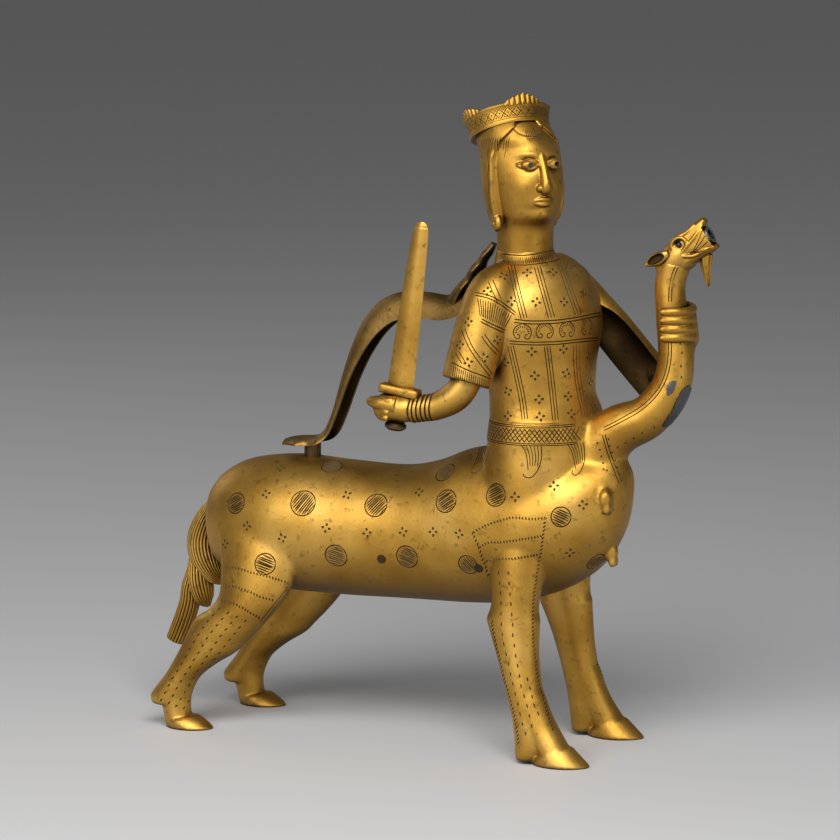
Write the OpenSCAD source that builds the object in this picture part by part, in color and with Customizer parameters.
// Crowned centaur aquamanile: a cast water vessel that is filled through the crown and pours
// from the mouth of the dragon that the centaur holds by the neck. Millimetres, +X forward, +Z up,
// with the four soles on the plane z = 0. Left and right are the centaur's own.

/* [Vessel] */
// Wall of the hollow casting
wall = 3; // [2.4:0.1:3.6]
// Gap at the joints between the cast members
seat_gap = 0.1; // [0.05:0.05:0.2]

/* [Horse] */
// Length of the barrel, from rump to breast
body_l = 258; // [240:1:270]
// Depth of the barrel at its middle, from back to belly
body_h = 77; // [72:1:82]
// Width of the barrel at the shoulders
body_w = 78; // [72:1:84]
// Height of the belly above the floor
belly_z = 77; // [70:1:84]
// How far the fore hooves' middles stand behind the breast's front
fore_inset = 28.4; // [24:0.2:34]
// How far the hind hooves' middles stand ahead of the rump's back
hind_inset = 9.6; // [5:0.2:15]
// Distance across between the middles of the fore hooves
fore_track = 80; // [74:1:84]
// Distance across between the middles of the hind hooves
hind_track = 72; // [66:1:76]
// How far the left hind hoof stands ahead of the right one
hind_step = 11; // [0:1:16]
// Length of a fore hoof's sole
hoof_l = 39; // [32:1:44]
// Width of a fore hoof's sole
hoof_w = 23; // [20:1:25]
// Length of the hanging tail below its root
tail_l = 84; // [70:1:90]
// Width of the tail at its fullest
tail_w = 19; // [15:1:22]

/* [Torso] */
// Height of the torso, from the belt to the collar
torso_h = 104; // [98:1:112]
// Width across the shoulders
shoulder_w = 75; // [70:1:80]
// Depth of the chest from front to back
chest_d = 55; // [50:1:60]
// Turn of the torso to its right
torso_turn = 30; // [20:1:36]
// Height of the belt
belt_h = 12; // [9:0.5:15]
// How far the belt stands proud of the torso
belt_t = 1.2; // [0.8:0.1:2]
// Diameter of the neck
neck_d = 31; // [28:0.5:33]

/* [Head] */
// Height of the head, from the collar to the top of the skull
head_h = 80; // [76:1:84]
// Width of the head with its hair
head_w = 40; // [38:1:43]
// Depth of the head from face to nape
head_d = 47; // [44:1:50]
// Turn of the head to its right
head_turn = 41; // [30:1:50]

/* [Crown and lid] */
// Outer diameter of the crown at its lower rim
crown_d = 43; // [41:0.5:46]
// Height of the crown's band
crown_h = 10.5; // [9:0.5:12]
// Height of the four leaf points above the band
finial_h = 4.5; // [3:0.5:6]
// Wall of the crown
crown_t = 2; // [1.6:0.1:2.6]
// Backward tilt of the crown
crown_tilt = 25; // [18:1:28]
// Diameter of the filling hole
mouth_d = 20; // [16:0.5:21]
// Thickness of the plate round the filling hole
rim_t = 2; // [1.6:0.1:2.6]
// Thickness of the lid
lid_t = 1.6; // [1.2:0.1:2.2]
// How far the lid laps over the edge of the filling hole
lid_lap = 2; // [1.4:0.1:2.4]
// Diameter of the hinge pin
pin_d = 2; // [1.6:0.1:2.4]
// Running clearance of the hinge, on the radius
pin_play = 0.05; // [0.02:0.01:0.1]

/* [Arms and sword] */
// Diameter of the short sleeves
sleeve_d = 28; // [25:0.5:30]
// Diameter of the bare right forearm at the wrist
wrist_d = 13.5; // [12:0.5:15]
// Length of the sword's blade
blade_l = 92; // [80:1:100]
// Width of the blade at the guard
blade_w = 15.5; // [14:0.5:17]
// Thickness of the blade
blade_t = 3.4; // [2.6:0.1:4.2]
// Length of the guard
guard_l = 23; // [20:0.5:26]
// Diameter of the sword's tang
tang_d = 5; // [4:0.1:6]
// Diameter of the pommel
pommel_d = 12; // [10:0.5:14]

/* [Dragon spout] */
// How far the root of the dragon's neck lies ahead of the torso's middle
spout_reach = 32.25; // [30:0.25:34]
// Diameter of the dragon's neck where the hand grips it
spout_d = 20; // [18:0.5:22]
// Bore of the dragon's neck
spout_bore = 10; // [8:0.5:10.5]
// Bore of the nozzle in the dragon's jaws
nozzle_bore = 5.5; // [4.8:0.1:6]
// Length of the dragon's head
dragon_l = 31; // [28:0.5:34]
// Length of the dragon's beard
beard_l = 17; // [13:0.5:20]

/* [Handle] */
// Width of the handle's strap
handle_w = 18; // [16:0.5:20]
// Depth of the strap's channel above the rump
handle_depth = 6; // [5:0.25:7]
// Wall of the strap
handle_t = 2.2; // [1.8:0.1:2.4]
// Diameter of the peg that carries the handle on the rump
peg_d = 9.5; // [7:0.5:11]

/* [Hidden] */

BRONZE = "#a9803a";
DARK_BRONZE = "#6e5528";
STEEL_GREY = "#8a8d90";
INLAY = "#14141c";

// The frame's origin lies under the middle of the whole object, seen from above
origin_x = 19.54;
origin_y = -4.05;
// The smallest half width of any section of a skin
tip = 0.4;
$fn = 32;

// Places that several members share
rear_x = -0.452 * body_l;
torso_x = rear_x + 0.79 * body_l;
belt_z = belly_z + 1.225 * body_h;
collar_z = belt_z + torso_h;
fore_x = rear_x + body_l - fore_inset;
hind_x = rear_x + hind_inset;
ahead = [1, 0, 0];
across = [0, 1, 0];
upright = [0, 0, 1];

function unit(v) = v / norm(v);
function spot(row) = [row[0], row[1], row[2]];
function sum(v, i = 0) = i < len(v) ? v[i] + sum(v, i + 1) : 0;
function mean(points) = [for (k = [0:2]) sum([for (p = points) p[k]]) / len(points)];
function turned(v, angle) = [
    v.x * cos(angle) - v.y * sin(angle),
    v.x * sin(angle) + v.y * cos(angle),
    v.z
];

// A smooth curve through rows of numbers, with a few steps between each pair of rows
function curve(a, b, c, d, t) =
    (2 * b + (c - a) * t + (2 * a - 5 * b + 4 * c - d) * t * t + (3 * b - a - 3 * c + d) * t * t * t) / 2;
function fair(rows, steps) =
    let (last = len(rows) - 1)
    concat(
        [for (i = [0:last - 1], k = [0:steps - 1])
            curve(rows[max(i - 1, 0)], rows[i], rows[i + 1], rows[min(i + 2, last)], k / steps)],
        [rows[last]]
    );
function row_at(rows, share) =
    let (s = share * (len(rows) - 1), i = min(floor(s), len(rows) - 2))
    rows[i] + (rows[i + 1] - rows[i]) * (s - i);
function heading(rows, i) =
    unit(spot(rows[min(i + 1, len(rows) - 1)]) - spot(rows[max(i - 1, 0)]));

// Oval sections along a path: each row holds a place, a half width along side and one square to it
function ovals(rows, side, n, grow = 0) = [
    for (i = [0:len(rows) - 1])
        let (
            along = heading(rows, i),
            s = unit(side - along * (side * along)),
            u = cross(along, s),
            a = max(rows[i][3] + grow, tip),
            b = max(rows[i][4] + grow, tip)
        )
        [for (k = [0:n - 1]) spot(rows[i]) + s * a * cos(360 * k / n) + u * b * sin(360 * k / n)]
];
function flat_ovals(rows, n) = [
    for (r = rows)
        [for (k = [0:n - 1]) [r[0] + r[3] * cos(360 * k / n), r[1] + r[4] * sin(360 * k / n), r[2]]]
];
function side_faces(n, count) = [
    for (i = [0:count - 2], k = [0:n - 1])
        let (a = i * n + k, b = i * n + (k + 1) % n)
        each [[a, a + n, b], [b, a + n, b + n]]
];

// A closed skin over a list of sections
module skin(rings) {
    n = len(rings[0]);
    count = len(rings);
    first = n * count;
    points = concat([for (r = rings) each r], [mean(rings[0]), mean(rings[count - 1])]);
    ends = [
        for (k = [0:n - 1])
            let (next = (k + 1) % n, top = n * (count - 1))
            each [[first, k, next], [first + 1, top + next, top + k]]
    ];
    polyhedron(points, concat(side_faces(n, count), ends), convexity = 8);
}

// A trough swept along a path: each row holds a place, a half width and a depth
module trough(rows, side, thick, half_n) {
    n = 2 * half_n;
    count = len(rows);
    rings = [
        for (i = [0:count - 1])
            let (
                along = heading(rows, i),
                s = unit(side - along * (side * along)),
                out = cross(s, along),
                a = rows[i][3],
                b = rows[i][4]
            )
            concat(
                [for (k = [0:half_n - 1]) let (t = 180 - 180 * k / (half_n - 1))
                    spot(rows[i]) + s * a * cos(t) + out * b * sin(t)],
                [for (k = [0:half_n - 1]) let (t = 180 * k / (half_n - 1))
                    spot(rows[i]) + s * (a - thick) * cos(t) + out * (b - thick) * sin(t)]
            )
    ];
    top = n * (count - 1);
    ends = [
        for (k = [0:half_n - 2])
            let (a = k, b = k + 1, c = n - 2 - k, d = n - 1 - k)
            each [[a, b, c], [a, c, d], [top + a, top + c, top + b], [top + a, top + d, top + c]]
    ];
    polyhedron([for (r = rings) each r], concat(side_faces(n, count), ends), convexity = 10);
}

// Joins and cuts lofted skins into one mesh, at the size that they have
module cast() {
    resize([0, 0, 0]) children();
}

module placed() {
    translate([-origin_x, -origin_y, 0]) children();
}

// Barrel of the horse: share of the length, underside, top side and half width
BARREL = [
    [0, 0.41, 0.66, 0.14], [0.016, 0.22, 0.75, 0.38],
    [0.049, 0.115, 0.86, 0.62], [0.107, 0.035, 0.955, 0.82],
    [0.211, 0.005, 1.005, 0.94], [0.343, 0, 0.99, 0.9],
    [0.467, 0.01, 0.985, 0.87], [0.55, 0.015, 1.04, 0.89],
    [0.63, 0.02, 1.15, 0.93], [0.72, 0.045, 1.195, 0.985], [0.8, 0.11, 1.2, 1], [0.875, 0.22, 1.2, 0.88],
    [0.935, 0.38, 1.19, 0.66], [0.975, 0.6, 1.15, 0.4], [0.993, 0.85, 1.08, 0.16]
];
function barrel_rows(grow) = [
    for (r = BARREL) [
        rear_x + body_l / 2 + (r[0] - 0.5) * (body_l + 2 * grow),
        0,
        belly_z + body_h * (r[1] + r[2]) / 2,
        body_w / 2 * r[3] + grow,
        body_h * (r[2] - r[1]) / 2 + grow
    ]
];
module barrel(grow = 0, n = 20, steps = 2) {
    skin([
        for (r = fair(barrel_rows(grow), steps)) [
            for (k = [0:n - 1])
                [r[0], max(r[3], tip) * cos(360 * k / n), r[2] + max(r[4], tip) * sin(360 * k / n)]
        ]
    ]);
}
// A place on the barrel's skin and the way out of it there: share of the length, angle up from the left
function on_barrel(share, angle) =
    let (
        rows = fair(barrel_rows(0), 8),
        x = rear_x + share * body_l,
        near = [for (r = rows) if (r[0] <= x) r],
        r = near[len(near) - 1]
    )
    [[x, r[3] * cos(angle), r[2] + r[4] * sin(angle)], unit([0, r[4] * cos(angle), r[3] * sin(angle)])];

// Torso: share of the height, half width, half depth and how far its middle is set back
TORSO = [
    [-0.4, 1, 1.2, 0], [-0.2, 0.97, 1.14, 0], [0, 0.92, 1.07, 0], [0.12, 0.88, 1, 0],
    [0.25, 0.81, 0.93, 0], [0.435, 0.86, 0.95, 0], [0.62, 0.96, 1, 2], [0.76, 0.93, 0.94, 5],
    [0.87, 0.76, 0.8, 8], [0.95, 0.54, 0.64, 10], [1, 0.42, 0.57, 10.5],
    [1.05, 0.42, 0.57, 10.5]
];
torso_side = turned(across, -torso_turn);
torso_front = turned(ahead, -torso_turn);
function torso_row(r, grow) = [
    torso_x - r[3], 0, belt_z + torso_h * r[0], shoulder_w / 2 * r[1] + grow, chest_d / 2 * r[2] + grow
];
module torso_skin(grow = 0, n = 18, steps = 2, rise = 0) {
    rows = [for (r = TORSO) torso_row(r, grow)];
    top = rows[len(rows) - 1];
    skin(ovals(concat(fair(rows, steps), rise > 0 ? [top + [0, 0, rise, 0, 0]] : []), torso_side, n));
}
function on_torso(across_share, front_share, up_share) =
    [torso_x, 0, belt_z + torso_h * up_share]
    + torso_side * (across_share * shoulder_w / 2) + torso_front * (front_share * chest_d / 2);

// Head and neck: share of the height, half width, half depth, forward and sideways lean
HEAD = [
    [-0.06, 0, 0, 0, 0], [0.12, 0, 0, 0, 0], [0.21, 0.78, 0.7, 0.5, 0], [0.29, 0.86, 0.84, 1.5, 0],
    [0.4, 0.95, 0.95, 1, -0.5], [0.53, 1, 1, 0, -1.5],
    [0.68, 1, 1, -2, -2.5], [0.8, 0.96, 0.93, -5, -3.5],
    [0.91, 0.82, 0.76, -7, -4.5], [1, 0.5, 0.48, -8.5, -5]
];
head_side = turned(across, -head_turn);
head_front = turned(ahead, -head_turn);
head_foot = [torso_x - 10.5, 0, collar_z];
function head_row(r, grow) =
    let (
        spot = head_foot + upright * (head_h * r[0]) + head_front * r[3] + head_side * r[4],
        round_neck = r[1] == 0
    )
    concat(spot, [
        (round_neck ? neck_d / 2 : head_w / 2 * r[1]) + grow,
        (round_neck ? neck_d / 2 : head_d / 2 * r[2]) + grow
    ]);
function head_rows(grow) = [for (r = HEAD) head_row(r, grow)];
module head_skin(grow = 0, n = 15, steps = 2) {
    skin(ovals(fair(head_rows(grow), steps), head_side, n));
}
// Frame of the crown: its lower rim lies on z = 0 there, with +X to the front
crown_mid = head_foot + upright * (0.825 * head_h) - head_front * 9 - head_side * 5;
module on_crown() {
    translate(crown_mid) rotate([0, 0, -head_turn]) rotate([0, -crown_tilt, 0]) children();
}
module on_face() {
    translate(head_foot) rotate([0, 0, -head_turn]) children();
}
rim_z = 4.5;
crown_flare = 2;
function crown_r(z) = crown_d / 2 + crown_flare * z / crown_h;
rim_r = crown_r(rim_z) - crown_t - 3 * seat_gap;
lid_r = mouth_d / 2 + lid_lap;
knuckle_r = pin_d / 2 + pin_play + 0.9;
hinge_x = -(lid_r + knuckle_r + 0.5);
lid_rest = 0.3;
hinge_z = rim_z + rim_t + knuckle_r + lid_rest;
lip_t = 1.4;
lip_play = 0.4;
knuckle_w = 8;
ear_w = 2.6;
ear_gap = 0.3;

// Dragon's neck, the spout: places from the breast up to the jaws and the share of the grip's diameter
SPOUT = [
    [-14, 0, -20, 1.5], [0, 1, -4, 1.5], [12, 2.5, 9, 1.38], [28, 5, 18.5, 1.2], [41, 8, 33.5, 1.1],
    [45, 10, 51, 1], [42, 12, 72, 0.9], [38.5, 13.5, 90, 0.86], [40, 14.5, 103, 0.9]
];
spout_root = [torso_x + spout_reach, 0, belly_z + 1.21 * body_h];
function spout_rows(r_grow, bore = 0) = [
    for (p = SPOUT)
        let (r = bore > 0 ? bore / 2 : spout_d / 2 * p[3] + r_grow)
        [spout_root.x + p[0], p[1], spout_root.z + p[2], r, r]
];
module spout_skin(grow = 0, n = 13, steps = 2) {
    skin(ovals(fair(spout_rows(grow), steps), across, n));
}
module spout_hollow(n = 12, steps = 2) {
    rows = spout_rows(0, spout_bore);
    last = rows[len(rows) - 1];
    skin(ovals(concat(fair(rows, steps), [last + [1.5, 0, 6, 0, 0]]), across, n));
}
grip_share = 0.74;
grip = row_at(fair(spout_rows(0), 6), grip_share);
// Frame of the dragon's head: along +X from the neck's end to the snout
snout_rise = 30;
dragon_place = spot(spout_rows(0)[8]) + [-3, 0, 0];
module on_dragon() {
    translate(dragon_place) rotate([0, 0, 3]) rotate([0, -snout_rise, 0]) children();
}

// Arms: places of the joints, worked out from the shoulders and the grip
right_shoulder = on_torso(-0.7, -0.1, 0.86);
right_elbow = right_shoulder + [-11, -20, -54];
fist = right_elbow + [-41, -8, -13.5];
sword_lean = 8;
module on_sword() {
    translate(fist + [2.6, 0, 0]) rotate([0, sword_lean, 0]) children();
}
fist_h = 7;
guard_h = 5;
guard_z = fist_h + 0.4;
left_shoulder = on_torso(0.72, 0.06, 0.74);
left_elbow = left_shoulder + (spot(grip) - left_shoulder) * 0.62 + [0, 10, -33];

module horse_body() {
    color(BRONZE) placed() cast() difference() {
        barrel();
        barrel(-wall, 14, 1);
        torso_skin(-wall, 14, 1);
        spout_hollow();
        for (p = PLUGS) plug_hole(p);
    }
}

// Plugs that close the core-pin holes: share of the barrel's length and angle up from the left
PLUGS = [[0.47, 196], [0.7, 206], [0.47, -16], [0.7, -26]];
plug_d = 5;
module at_plug(p) {
    place = on_barrel(p[0], p[1]);
    up = place[1];
    translate(place[0]) rotate([0, 0, atan2(up.y, up.x)]) rotate([0, acos(up.z), 0]) children();
}
module plug_hole(p) {
    at_plug(p) cylinder(d = (plug_d + 2 * seat_gap) / cos(15), h = 4 * wall, center = true, $fn = 12);
}
module core_plugs() {
    color(DARK_BRONZE) placed() for (p = PLUGS)
        at_plug(p) translate([0, 0, -wall]) cylinder(d = plug_d, h = wall + 0.4);
}

// Legs: share of the height, forward place, inward place, half length and half width
FORELEG = [
    [1, -27, 15, 17, 9], [0.8, -28.5, 12.5, 18, 12], [0.64, -29, 10, 16.4, 11.8],
    [0.5, -28, 7.5, 14.6, 10.8], [0.42, -26, 6, 13.4, 10.2], [0.3, -21.5, 3.5, 12, 9.4],
    [0.17, -16.5, 1.5, 11.2, 9.2], [0.09, -12.5, 0.5, 12, 9.8], [0.045, -8.5, 0, 12.5, 10]
];
HIND_LEG = [
    [0.87, 42, 13, 25, 8], [0.79, 41, 9.5, 27, 9.5], [0.67, 39, 7, 25, 11.6],
    [0.53, 32, 4, 18.8, 12], [0.37, 18, 2, 13.6, 11], [0.24, 0, 1, 11.4, 9.6],
    [0.14, -13, 0.5, 11.4, 9.2], [0.075, -9.5, 0, 10, 8.8], [0.04, -6, 0, 9.6, 8.8]
];
leg_top = belly_z + 0.83 * body_h;
module leg(form, place, out, sole_l, sole_w, hoof_h) {
    rows = [for (r = form) [place.x + r[1], place.y - out * r[2], leg_top * r[0], r[3], r[4]]];
    hoof = [
        [place.x, place.y, -1, 0.5 * sole_l, 0.5 * sole_w],
        [place.x, place.y, 0, 0.5 * sole_l, 0.5 * sole_w],
        [place.x - 0.09 * sole_l, place.y, 0.55 * hoof_h, 0.41 * sole_l, 0.5 * sole_w],
        [place.x - 0.2 * sole_l, place.y, hoof_h, 0.29 * sole_l, 0.44 * sole_w]
    ];
    color(BRONZE) placed() difference() {
        cast() difference() {
            union() {
                skin(ovals(fair(rows, 2), ahead, 10));
                skin(flat_ovals(fair(hoof, 2), 12));
            }
            barrel(seat_gap);
            torso_skin(seat_gap);
        }
        translate([place.x - 100, place.y - 100, -50]) cube([200, 200, 50]);
    }
}
hind_hoof_l = 0.74 * hoof_l;
hind_hoof_w = 0.92 * hoof_w;
hoof_h = 13;
hind_hoof_h = 10;
module right_foreleg() {
    leg(FORELEG, [fore_x, -fore_track / 2], -1, hoof_l, hoof_w, hoof_h);
}
module left_foreleg() {
    leg(FORELEG, [fore_x, fore_track / 2], 1, hoof_l, hoof_w, hoof_h);
}
module right_hind_leg() {
    leg(HIND_LEG, [hind_x - hind_step / 2, -hind_track / 2], -1, hind_hoof_l, hind_hoof_w, hind_hoof_h);
}
module left_hind_leg() {
    leg(HIND_LEG, [hind_x + hind_step / 2, hind_track / 2], 1, hind_hoof_l, hind_hoof_w, hind_hoof_h);
}

// Tail of three locks: share of the drop, set back, half length and half width
LOCKS = [
    [
        [-0.12, 7, 7, 0.3], [0.05, -1, 8.5, 0.45], [0.25, -6, 9.5, 0.5],
        [0.45, -7, 9, 0.46], [0.6, -1, 6.5, 0.3], [0.66, 4, 2, 0.12]
    ],
    [
        [0.2, -6, 8, 0.4], [0.42, -8, 8.6, 0.46], [0.6, -8, 8, 0.42],
        [0.76, -4, 5.5, 0.3], [0.83, 0, 2, 0.12]
    ],
    [
        [0.4, -7, 7, 0.34], [0.6, -10, 7.6, 0.4], [0.8, -15, 7, 0.38],
        [0.93, -22, 6.4, 0.34], [1, -26, 4.5, 0.28]
    ]
];
tail_root = [rear_x + 1, 0, belly_z + 0.57 * body_h];
module tail() {
    color(BRONZE) placed() cast() difference() {
        for (lock = LOCKS)
            skin(ovals(fair([
                for (r = lock) [tail_root.x + r[1], 0, tail_root.z - tail_l * r[0], r[2], tail_w * r[3]]
            ], 2), ahead, 10));
        barrel(seat_gap);
    }
}

module torso() {
    color(BRONZE) placed() cast() difference() {
        torso_skin();
        torso_skin(-wall, 14, 1, 2 * wall);
        barrel(seat_gap);
        belt_band(seat_gap);
        translate(head_foot + upright * 25) cube([90, 90, 50], center = true);
    }
}

// Belt: a flat band let into the torso
belt_inset = 0.8;
module belt_band(grow = 0) {
    half_w = shoulder_w / 2 * 0.9;
    half_d = chest_d / 2 * 1.05;
    translate([torso_x, 0, belt_z - grow]) rotate([0, 0, -torso_turn]) linear_extrude(belt_h + 2 * grow)
        difference() {
            scale([half_d + belt_t + 0.8 + grow, half_w + belt_t + 0.8 + grow]) circle(r = 1);
            scale([half_d - belt_inset - grow, half_w - belt_inset - grow]) circle(r = 1);
        }
}
module belt() {
    color(BRONZE) placed() belt_band();
}

// Face on plain thirds: brow, nose and mouth lines up from the collar, as shares of the head's height
eye_z = 0.645 * head_h;
nose_z = 0.46 * head_h;
mouth_z = 0.38 * head_h;
eye_y = 0.19 * head_w;
face_x = 0.5 * head_d;
pupil_d = 2.6;
hair_t = 1.4;
module head() {
    color(BRONZE) placed() cast() difference() {
        union() {
            head_skin();
            hair();
            face();
        }
        head_skin(-wall, 12, 1);
        translate(head_foot + upright * (seat_gap - 25)) cube([90, 90, 50], center = true);
        on_crown() translate([0, 0, rim_z - seat_gap + 25]) cube([90, 90, 50], center = true);
        for (s = [-1, 1]) pupil(s, seat_gap);
    }
}
module hair() {
    difference() {
        head_skin(hair_t);
        on_face() translate([0, 0, 0.1 * head_h]) cube([200, 200, 0.32 * head_h], center = true);
        on_face() translate([0.86 * face_x, 0, 0.47 * head_h])
            scale([1, 1, 1.55]) sphere(r = 0.43 * head_w, $fn = 18);
    }
    for (s = [-1, 1]) on_face() lock_of_hair(s);
}
module lock_of_hair(s) {
    skin(ovals(fair([
        [0.1 * head_d, s * 0.49 * head_w, 0.52 * head_h, 5.5, 1.6],
        [0.05 * head_d, s * 0.48 * head_w, 0.4 * head_h, 5, 2],
        [0.0, s * 0.42 * head_w, 0.27 * head_h, 4, 2.2],
        [-0.02 * head_d, s * 0.42 * head_w, 0.22 * head_h, 3.4, 3]
    ], 2), ahead, 10));
}
module face() {
    on_face() {
        skin(ovals(fair([
            [face_x - 3, 0, eye_z + 4, 1.8, 2.4], [face_x - 1, 0, eye_z - 1, 2.4, 2.2],
            [face_x + 1.6, 0, nose_z + 2, 2.8, 2.9], [face_x - 1, 0, nose_z - 1.5, 2.2, 3.6]
        ], 2), ahead, 10));
        for (s = [-1, 1]) translate([face_x - 3.2, s * eye_y, eye_z]) scale([0.9, 1.5, 1])
            sphere(d = 5, $fn = 8);
        for (lift = [-1.2, 1]) translate([face_x - 2.6, 0, mouth_z + lift]) scale([1, 1.9, 0.5])
            sphere(d = 5, $fn = 8);
    }
}
module pupil(s, grow) {
    on_face() translate([face_x - 3.4, s * eye_y, eye_z]) rotate([0, 90, s * 8])
        cylinder(d = pupil_d + 2 * grow, h = 3 + grow, $fn = 12);
}
module eye_inlays() {
    color(INLAY) placed() for (s = [-1, 1])
        on_face() translate([face_x - 3.2, s * eye_y, eye_z]) rotate([0, 90, s * 8])
            cylinder(d = pupil_d, h = 2.6);
}

// Crown: a flared band with four leaf points, cut to the skull that it sits on
module crown_shell(top) {
    rotate_extrude($fn = 26) polygon([
        [crown_r(0) - crown_t, 0], [crown_r(0), 0], [crown_r(top), top], [crown_r(top) - crown_t, top]
    ]);
}
module crown() {
    color(BRONZE) placed() cast() difference() {
        on_crown() {
            crown_shell(crown_h);
            for (k = [0:3]) rotate([0, 0, 90 * k]) intersection() {
                crown_shell(crown_h + finial_h);
                translate([0, 0, crown_h - 1]) rotate([90, 0, 90]) linear_extrude(60) leaf_point();
            }
        }
        head_skin(hair_t + seat_gap);
    }
}
module leaf_point() {
    for (s = [-1, 0, 1])
        translate([6 * s, 1 + (1 - abs(s)) * finial_h * 0.3])
            circle(r = (1 - 0.25 * abs(s)) * finial_h * 0.72, $fn = 9);
    translate([-9, 0]) square([18, 2.2]);
}

module filling_rim() {
    color(BRONZE) placed() on_crown() difference() {
        union() {
            translate([0, 0, rim_z]) cylinder(r = rim_r, h = rim_t);
            for (s = [-1, 1]) {
                ear_y = s * (knuckle_w / 2 + ear_gap + ear_w / 2);
                translate([hinge_x, ear_y, hinge_z]) rotate([90, 0, 0])
                    cylinder(r = knuckle_r, h = ear_w, center = true);
                translate([hinge_x - knuckle_r, ear_y - ear_w / 2, rim_z + rim_t / 2])
                    cube([2 * knuckle_r, ear_w, hinge_z - rim_z - rim_t / 2]);
            }
        }
        translate([0, 0, rim_z - 1]) cylinder(d = mouth_d, h = rim_t + 2);
        hinge_bore();
    }
}
module hinge_bore() {
    translate([hinge_x, 0, hinge_z]) rotate([90, 0, 0])
        cylinder(r = pin_d / 2 + pin_play, h = 40, center = true);
}
module lid() {
    color(BRONZE) placed() on_crown() difference() {
        union() {
            translate([0, 0, rim_z + rim_t + lid_rest]) rotate_extrude() polygon([
                [0, -lip_t], [mouth_d / 2 - lip_play, -lip_t],
                [mouth_d / 2 - lip_play, 0], [lid_r, 0], [lid_r, lid_t * 0.7],
                [lid_r - 1, lid_t], [lid_r * 0.55, lid_t + 0.9],
                [2.6, lid_t + 1.3], [2.6, lid_t + 3.2], [0, lid_t + 3.8]
            ]);
            translate([hinge_x, 0, hinge_z]) rotate([90, 0, 0])
                cylinder(r = knuckle_r, h = knuckle_w, center = true);
            translate([hinge_x, -knuckle_w / 2, rim_z + rim_t + lid_rest])
                cube([-hinge_x - lid_r + 3, knuckle_w, lid_t]);
        }
        hinge_bore();
    }
}
module lid_pin() {
    color(DARK_BRONZE) placed() on_crown() translate([hinge_x, 0, hinge_z]) rotate([90, 0, 0])
        cylinder(d = pin_d, h = knuckle_w + 2 * (ear_gap + ear_w) + 0.6, center = true);
}

module right_arm() {
    r = sleeve_d / 2;
    hem = right_elbow + [-1, -1, 2];
    sleeve = [
        concat(on_torso(-0.5, -0.1, 0.9), [0.72 * r, 0.72 * r]),
        concat(right_shoulder + [-2, -4, -4], [r, r]),
        concat(right_shoulder + [-6, -11, -20], [1.05 * r, 1.05 * r]), concat(hem, [r, 0.94 * r])
    ];
    wrist = wrist_d / 2;
    forearm = [
        concat(right_elbow + [2, 1, 8], [wrist + 1, wrist + 1]),
        concat(right_elbow + [-6, -1, -5], [wrist + 2, wrist + 1.6]),
        concat(right_elbow + [-18, -3, -12], [wrist + 1, wrist + 0.8]),
        concat(right_elbow + [-30, -5, -14], [wrist, wrist]),
        concat(fist + [8, 0, 0], [wrist + 1.2, wrist + 1.4]), concat(fist, [wrist + 2.6, fist_h]),
        concat(fist + [-8, 0, 0.5], [wrist + 2.4, fist_h]),
        concat(fist + [-13, 0, 1], [wrist - 0.5, 0.62 * fist_h])
    ];
    thumb = [
        concat(fist + [2, -wrist - 1, 5], [2.6, 2.6]), concat(fist + [-8, -wrist + 1, 6.5], [2.7, 2.6]),
        concat(fist + [-14.5, -1, 5.5], [2.2, 2])
    ];
    color(BRONZE) placed() cast() difference() {
        union() {
            skin(ovals(fair(sleeve, 2), torso_front, 12));
            skin(ovals(fair(forearm, 2), across, 10));
            skin(ovals(fair(thumb, 2), across, 8));
        }
        torso_skin(seat_gap);
        on_sword() cylinder(d = tang_d + 2 * seat_gap, h = 60, center = true, $fn = 24);
        on_sword() translate([0, 0, guard_z - seat_gap]) cylinder(r = 30, h = 40, $fn = 24);
    }
}

// Blade with an oval section, a round tip and a tang that runs down through the fist
module sword_blade() {
    foot = guard_z + guard_h;
    rows = [
        [0, 0, foot, blade_w / 2, blade_t / 2],
        [0, 0, foot + 0.45 * blade_l, 0.86 * blade_w / 2, blade_t / 2],
        [0, 0, foot + 0.9 * blade_l, 0.62 * blade_w / 2, 0.44 * blade_t],
        [0, 0, foot + 0.97 * blade_l, 0.47 * blade_w / 2, 0.36 * blade_t],
        [0, 0, foot + blade_l, 0.2 * blade_w / 2, 0.15 * blade_t]
    ];
    color(BRONZE) placed() on_sword() {
        skin(ovals(fair(rows, 3), ahead, 12));
        translate([0, 0, pommel_z]) cylinder(d = tang_d, h = foot - pommel_z + 0.5);
    }
}
guard_w = 8.5;
module sword_guard() {
    color(BRONZE) placed() on_sword() difference() {
        translate([-guard_l / 2, -guard_w / 2, guard_z]) cube([guard_l, guard_w, guard_h - seat_gap]);
        cylinder(d = tang_d + 2 * seat_gap, h = 60, center = true);
    }
}
pommel_t = 4;
pommel_z = -fist_h - 1 - pommel_t;
module sword_pommel() {
    color(DARK_BRONZE) placed() on_sword() difference() {
        translate([0, 0, pommel_z]) rotate_extrude() polygon([
            [0, 0], [pommel_d * 0.36, 0], [pommel_d / 2, pommel_t * 0.35], [pommel_d / 2, pommel_t * 0.7],
            [pommel_d * 0.4, pommel_t], [0, pommel_t]
        ]);
        translate([0, 0, pommel_z - 1]) cylinder(d = tang_d + 2 * seat_gap, h = pommel_t + 2);
    }
}

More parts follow.
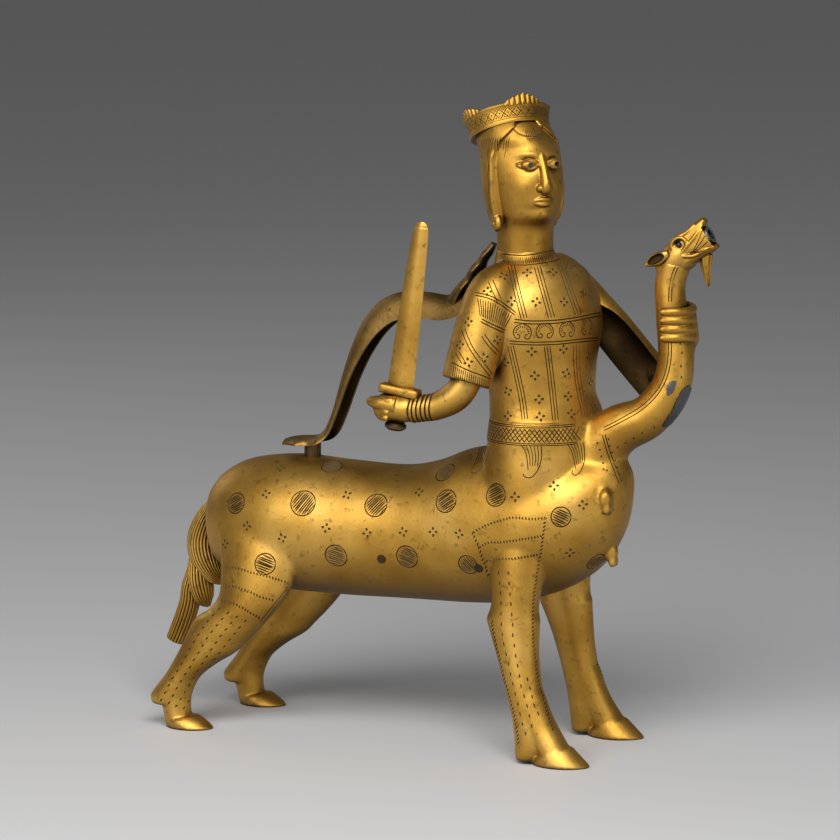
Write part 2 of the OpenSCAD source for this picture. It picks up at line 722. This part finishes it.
// Left arm: an open trough of a sleeve, a forearm behind the dragon's neck and four fingers round it
finger_d = 5.6;
module left_arm() {
    r = sleeve_d / 2;
    reach = left_elbow - left_shoulder;
    sleeve = [
        concat(on_torso(0.4, 0, 0.9), [0.62 * r, 0.62 * r]), concat(left_shoulder, [0.95 * r, 0.95 * r]),
        concat(left_shoulder + reach * 0.5 + [0, 2, -2], [0.96 * r, 0.96 * r]),
        concat(left_elbow + reach * 0.2, [0.8 * r, 0.8 * r])
    ];
    scoop = [
        concat(left_shoulder + reach * 0.1 + [0, -9, -5], [0.55 * r, 0.55 * r]),
        concat(left_shoulder + reach * 0.5 + [0, -5, -1], [0.88 * r, 0.88 * r]),
        concat(left_elbow + reach * 0.5 + [0, -8, -2], [0.78 * r, 0.78 * r])
    ];
    behind = spot(grip) + [3, spout_d / 2 + 3, -9];
    forearm = [
        concat(left_elbow + reach * 0.06 + [0, 5, 1], [0.46 * r, 0.46 * r]),
        concat(left_elbow + [10, 4, 0], [0.52 * r, 0.5 * r]),
        concat((left_elbow + behind) / 2 + [7, 3, -3], [0.5 * r, 0.48 * r]), concat(behind, [6.2, 5]),
        concat(spot(grip) + [1.5, spout_d / 2 + 2.4, 9], [5, 3.2])
    ];
    color(BRONZE) placed() cast() difference() {
        union() {
            difference() {
                skin(ovals(fair(sleeve, 2), across, 12));
                skin(ovals(fair(scoop, 2), across, 10));
            }
            skin(ovals(fair(forearm, 2), across, 10));
            for (k = [0:3]) translate(spot(grip) + [0, 0, (1.5 - k) * finger_d * 0.96]) finger();
        }
        spout_skin(seat_gap);
        torso_skin(seat_gap);
    }
}
// One finger: from behind the dragon's neck, round its front, to the near side
module finger() {
    r = spout_d / 2 + finger_d * 0.34;
    skin(ovals([
        for (a = [110:-36:-106])
            concat([r * cos(a), r * sin(a), 0], (a < -100 ? 0.6 : 1) * [finger_d / 2, finger_d / 2])
    ], upright, 6));
}

module dragon_neck() {
    color(BRONZE) placed() cast() difference() {
        spout_skin();
        spout_hollow();
        barrel(seat_gap);
        torso_skin(seat_gap);
        belt_band(3 * seat_gap);
    }
}

// Dragon's head in its own frame: along the snout, up, half width and half height
SKULL = [
    [-6, -3.5, 7, 7.4], [0, -1.5, 8.6, 8.8], [7, 0.8, 9, 9], [13, 2, 7.6, 7.4], [18, 3, 5, 5]
];
UPPER_JAW = [
    [4, 2.5, 8.4, 6.4], [12, 4.8, 7.8, 5], [20, 8, 6.2, 4], [26, 10, 5, 3], [29.5, 11.4, 3, 1.6]
];
LOWER_JAW = [
    [4, -2, 8, 6], [12, -3.2, 7.2, 4.6], [20, -4, 6, 3], [26, -4.4, 4.8, 2], [29, -4.6, 2.6, 1.1]
];
function jaw_rows(form) = [
    for (r = form)
        [dragon_l / 31 * r[0], 0, spout_d / 20 * r[1], spout_d / 20 * r[2], spout_d / 20 * r[3]]
];
module jaws(grow = 0) {
    for (form = [SKULL, UPPER_JAW, LOWER_JAW]) skin(ovals(fair(jaw_rows(form), 2), across, 10, grow));
}
nozzle_z = 2.8;
module dragon_head() {
    color(BRONZE) placed() cast() difference() {
        on_dragon() jaws();
        spout_skin(seat_gap);
        for (s = [-1, 1]) bead(s, seat_gap);
        for (s = [-1, 1]) ear(s, seat_gap);
        on_dragon() translate([-4, 0, nozzle_z]) rotate([0, 90, 0])
            cylinder(d = nozzle_d + 2 * seat_gap, h = 60, $fn = 16);
    }
}
nozzle_d = nozzle_bore + 4.5;
module spout_nozzle() {
    color(STEEL_GREY) placed() on_dragon() translate([0.36 * dragon_l, 0, nozzle_z]) rotate([0, 90, 0])
        difference() {
        cylinder(d = nozzle_d, h = 0.55 * dragon_l);
        translate([0, 0, -1]) cylinder(d = nozzle_bore, h = dragon_l);
    }
}
bead_d = 3.4;
module bead(s, grow) {
    on_dragon() translate([0.38 * dragon_l, s * 0.37 * spout_d, 0.28 * spout_d])
        sphere(d = bead_d + 2 * grow, $fn = 14);
}
module dragon_eyes() {
    color(INLAY) placed() for (s = [-1, 1])
        on_dragon() translate([0.38 * dragon_l, s * 0.37 * spout_d, 0.28 * spout_d]) sphere(d = bead_d);
}
// Ear: a leaf-shaped cup that points back from the skull
module ear(s, grow) {
    on_dragon() skin(ovals(fair([
        [4, s * 8, 5, 2, 2.2], [0, s * 9, 4.4, 2.4, 3.4],
        [-4, s * 9.8, 2.6, 2.4, 3.6], [-9, s * 10.2, 0.2, 1, 1.2]
    ], 2), across, 10, grow));
}
module dragon_ears() {
    color(BRONZE) placed() cast() difference() {
        for (s = [-1, 1]) ear(s, 0);
        on_dragon() translate([5, 0, 0]) sphere(r = 0.3 * spout_d, $fn = 12);
        spout_skin(seat_gap);
    }
}
module dragon_beard() {
    rise = spot([cos(snout_rise), 0, sin(snout_rise)]);
    root = dragon_place + rise * (0.7 * dragon_l) + [0.07 * spout_d, 1, -0.36 * spout_d];
    color(BRONZE) placed() cast() difference() {
        skin(ovals(fair([
            concat(root + [0.5, 0, 2], [3.4, 2.8]), concat(root + [0, 0, -2], [3.6, 3]),
            concat(root + [0.5, 0, -0.5 * beard_l], [2.7, 2.2]), concat(root + [2, 0, -0.93 * beard_l], [0.9, 0.8])
        ], 2), ahead, 10));
        on_dragon() jaws(seat_gap);
    }
}

// Paws by which the dragon clings to the breast: share of the length and angle up from the left
PAWS = [[0.965, 172], [0.955, 262]];
module dragon_paws() {
    color(BRONZE) placed() cast() difference() {
        for (p = PAWS) {
            place = on_barrel(p[0], p[1]);
            translate(place[0]) {
                scale([1, 1, 1.5]) sphere(d = 8, $fn = 10);
                translate([1, 0, -4]) sphere(d = 6.5, $fn = 8);
            }
        }
        barrel(seat_gap);
        spout_skin(seat_gap);
    }
}

// Grey repairs on the bend of the dragon's neck: share of its length, place round it and half sizes
PATCHES = [[0.5, -55, [3, 3, 7]], [0.44, 0, [4, 4, 14]]];
patch_t = 0.5;
module solder_patches() {
    rows = fair(spout_rows(0), 6);
    color(STEEL_GREY) placed() cast() intersection() {
        difference() {
            spout_skin(patch_t);
            spout_skin(0.03);
        }
        for (p = PATCHES) {
            row = row_at(rows, p[0]);
            translate(spot(row) + turned([row[3], 0, 0], p[1])) rotate([0, 32, p[1]]) scale(p[2])
                sphere(r = 1, $fn = 10);
        }
    }
}

// Handle: a strap of channel section from the shoulder blades to the rump, with a leaf at each end
peg_x = rear_x + 0.27 * body_l;
rump_z = belly_z + 1.005 * body_h;
nape = on_torso(0, -0.96, 0.8);
HANDLE = [
    [1.02, 1.02, 0.5, 1.5], [0.91, 0.935, 0.5, 1.83], [0.8, 0.86, 0.5, 2.08], [0.7, 0.815, 0.5, 2.17],
    [0.57, 0.8, 0.5, 2.33], [0.455, 0.77, 0.5, 2.4], [0.366, 0.7, 0.5, 2.17], [0.286, 0.595, 0.5, 1.67],
    [0.223, 0.475, 0.5, 1.25], [0.179, 0.355, 0.5, 1],
    [0.138, 0.235, 0.5, 0.85], [0.09, 0.126, 0.5, 0.85],
    [0.02, 0.076, 0.56, 0.85], [-0.08, 0.066, 0.6, 0.75], [-0.19, 0.06, 0.36, 0.48]
];
// Leaf that stands up from the strap's upper end: share along, share up, half width and half thickness
HANDLE_LEAF = [
    [0.74, 0.9, 5, 3.5], [0.81, 1.02, 6.5, 3.6], [0.87, 1.13, 5.4, 3],
    [0.92, 1.21, 3.6, 2.2], [0.945, 1.25, 1.2, 1]
];
function on_handle(along, up) = [peg_x + (nape.x - peg_x) * along, 0, rump_z + (nape.z - rump_z) * up];
module handle_strap() {
    rows = [for (r = HANDLE) concat(on_handle(r[0], r[1]), [handle_w * r[2], handle_depth * r[3]])];
    trough(fair(rows, 2), across, handle_t, 5);
}
module handle() {
    leaf = [for (r = HANDLE_LEAF) concat(on_handle(r[0], r[1]), [r[2], r[3]])];
    color(BRONZE) placed() cast() difference() {
        union() {
            handle_strap();
            skin(ovals(fair(leaf, 2), across, 12));
        }
        torso_skin(seat_gap);
        barrel(seat_gap);
    }
}
module handle_peg() {
    foot = on_handle(-0.05, 0) - upright * 6;
    top = on_handle(-0.05, 0.07) + upright * 0.4 * (0.8 * handle_depth - handle_t);
    color(DARK_BRONZE) placed() cast() difference() {
        translate(foot) cylinder(d = peg_d, h = top.z - foot.z, $fn = 20);
        barrel(seat_gap);
    }
}

horse_body();
right_foreleg();
left_foreleg();
right_hind_leg();
left_hind_leg();
tail();
torso();
belt();
head();
eye_inlays();
crown();
filling_rim();
lid();
lid_pin();
right_arm();
sword_blade();
sword_guard();
sword_pommel();
left_arm();
dragon_neck();
dragon_head();
dragon_ears();
dragon_eyes();
dragon_beard();
spout_nozzle();
dragon_paws();
solder_patches();
handle();
handle_peg();
core_plugs();
